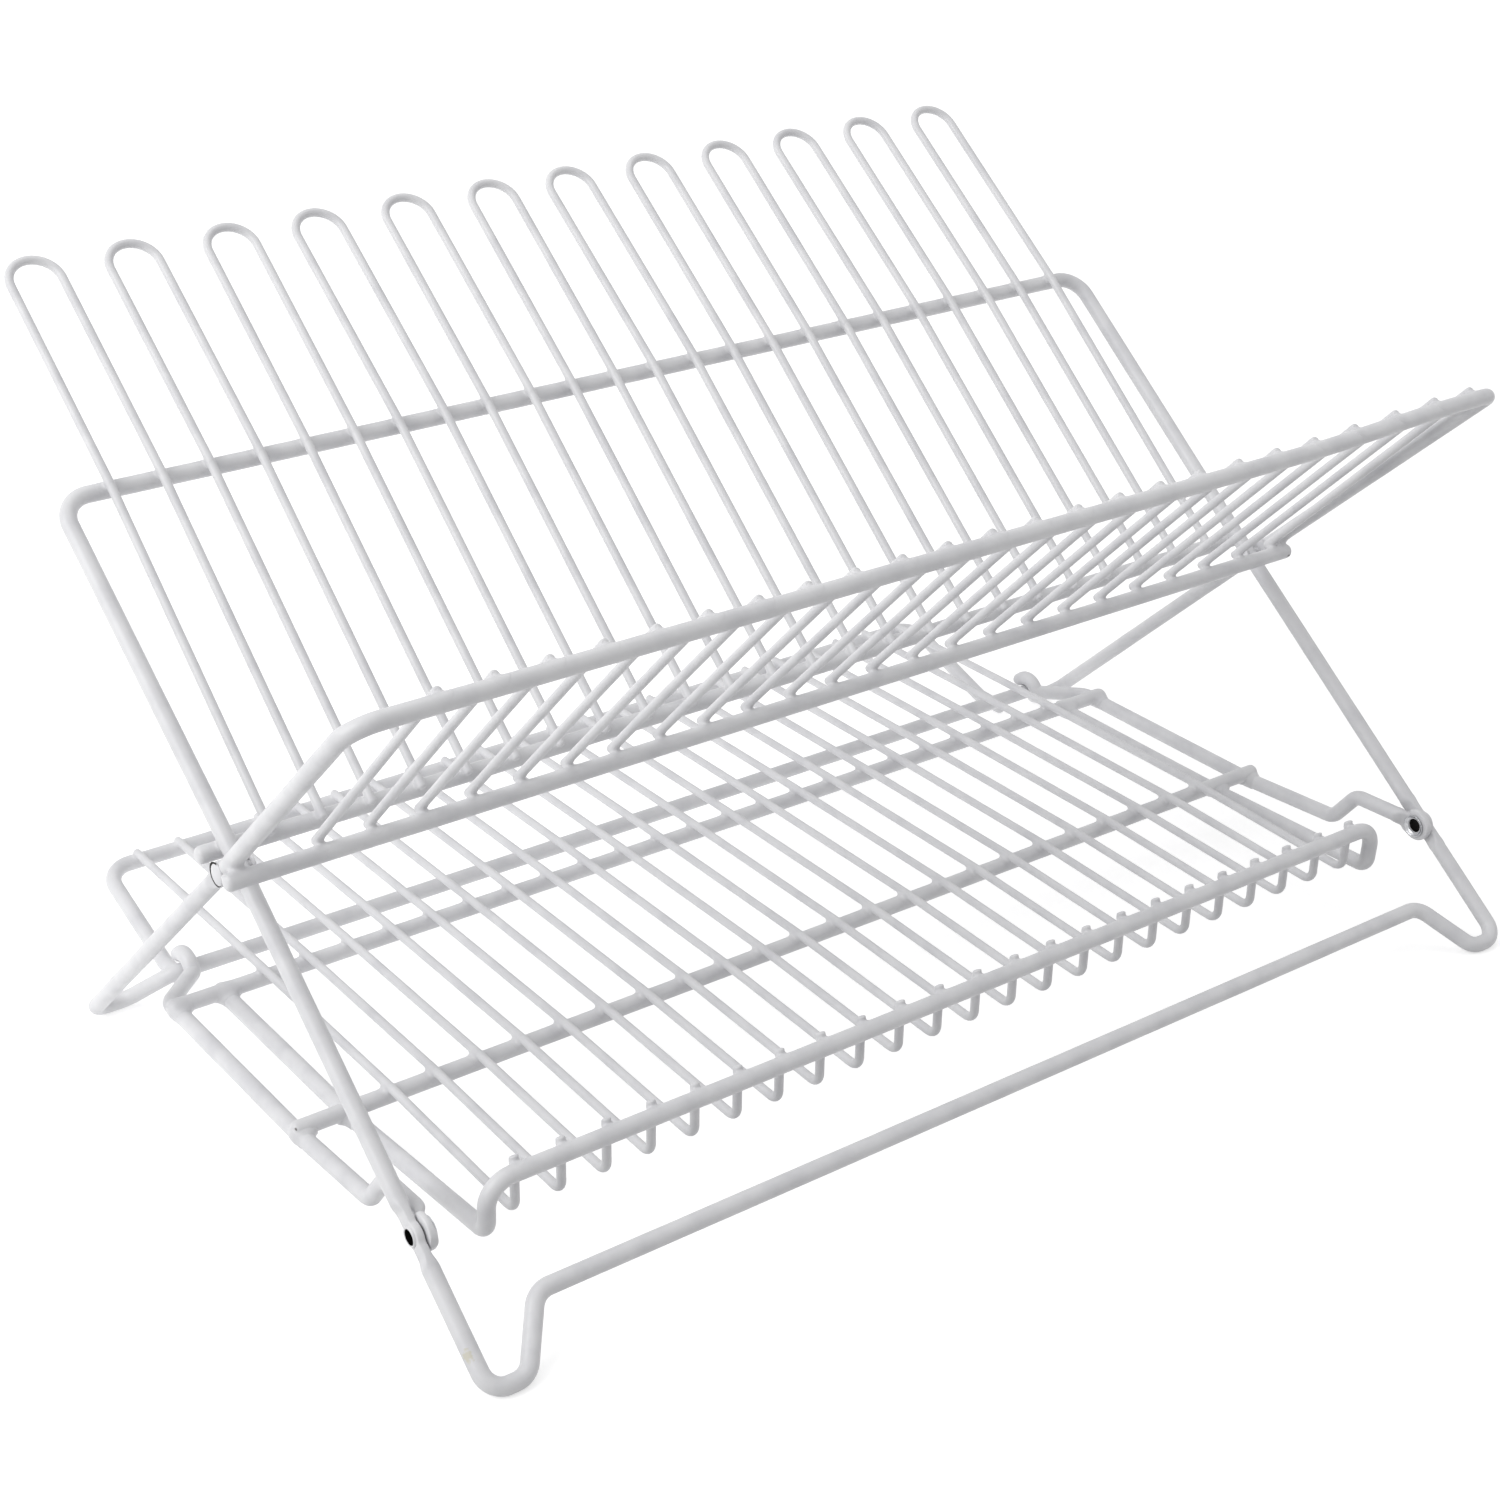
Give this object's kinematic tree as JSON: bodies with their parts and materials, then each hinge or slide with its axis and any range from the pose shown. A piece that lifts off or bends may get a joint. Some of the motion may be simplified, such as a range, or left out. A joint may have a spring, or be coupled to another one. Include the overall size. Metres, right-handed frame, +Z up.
{
  "type": "folding dish rack",
  "caption": "Folding dish rack of white coated wire: two riveted frames crossed like an X hold plates, and a hooked wire tray below holds cups.",
  "frame": {"origin": "on the floor, below the middle of the open rack's overall width and depth", "axes": "+X to the right along the rails, +Y from the tray's lip towards the leaning fingers at the back, +Z up"},
  "size_m": [0.4948, 0.3486, 0.2711],
  "materials": {
    "white_coating": "satin white dipped coating over steel wire",
    "bare_steel": "bare tubular rivet, slightly dull"
  },
  "bodies": {
    "finger_frame": {"finger_frame_wire": "white_coating", "finger_crossbar": "white_coating", "plate_finger_01": "white_coating", "plate_finger_02": "white_coating", "plate_finger_03": "white_coating", "plate_finger_04": "white_coating", "plate_finger_05": "white_coating", "plate_finger_06": "white_coating", "plate_finger_07": "white_coating", "plate_finger_08": "white_coating", "plate_finger_09": "white_coating", "plate_finger_10": "white_coating", "plate_finger_11": "white_coating", "plate_finger_12": "white_coating", "hinge_rivet_left": "white_coating", "hinge_rivet_right": "white_coating", "tray_rivet_left": "bare_steel", "tray_rivet_right": "bare_steel"},
    "grid_frame": {"grid_frame_wire": "white_coating", "grid_crossbar": "white_coating", "grid_wire_01": "white_coating", "grid_wire_02": "white_coating", "grid_wire_03": "white_coating", "grid_wire_04": "white_coating", "grid_wire_05": "white_coating", "grid_wire_06": "white_coating", "grid_wire_07": "white_coating", "grid_wire_08": "white_coating", "grid_wire_09": "white_coating", "grid_wire_10": "white_coating", "grid_wire_11": "white_coating", "grid_wire_12": "white_coating", "grid_wire_13": "white_coating", "grid_wire_14": "white_coating", "grid_wire_15": "white_coating", "grid_wire_16": "white_coating", "grid_wire_17": "white_coating", "grid_wire_18": "white_coating", "grid_wire_19": "white_coating", "grid_wire_20": "white_coating", "grid_wire_21": "white_coating", "grid_wire_22": "white_coating", "grid_wire_23": "white_coating", "grid_wire_24": "white_coating"},
    "tray": {"tray_wire_mat": "white_coating", "tray_rear_crossbar": "white_coating", "tray_rim": "white_coating", "tray_rear_bow": "white_coating", "tray_link_left": "white_coating", "tray_link_right": "white_coating", "tray_hook_left": "white_coating", "tray_hook_right": "white_coating"}
  },
  "joints": [
    {"name": "fold", "type": "hinge", "parent": "finger_frame", "child": "grid_frame", "pos_m": [0, -0.02024, 0.11708], "axis": [-1, 0, 0], "range_deg": [0, 78]},
    {"name": "tray_lift", "type": "hinge", "parent": "finger_frame", "child": "tray", "pos_m": [0, -0.12787, 0.03559], "axis": [1, 0, 0], "range_deg": [0, 15]}
  ]
}
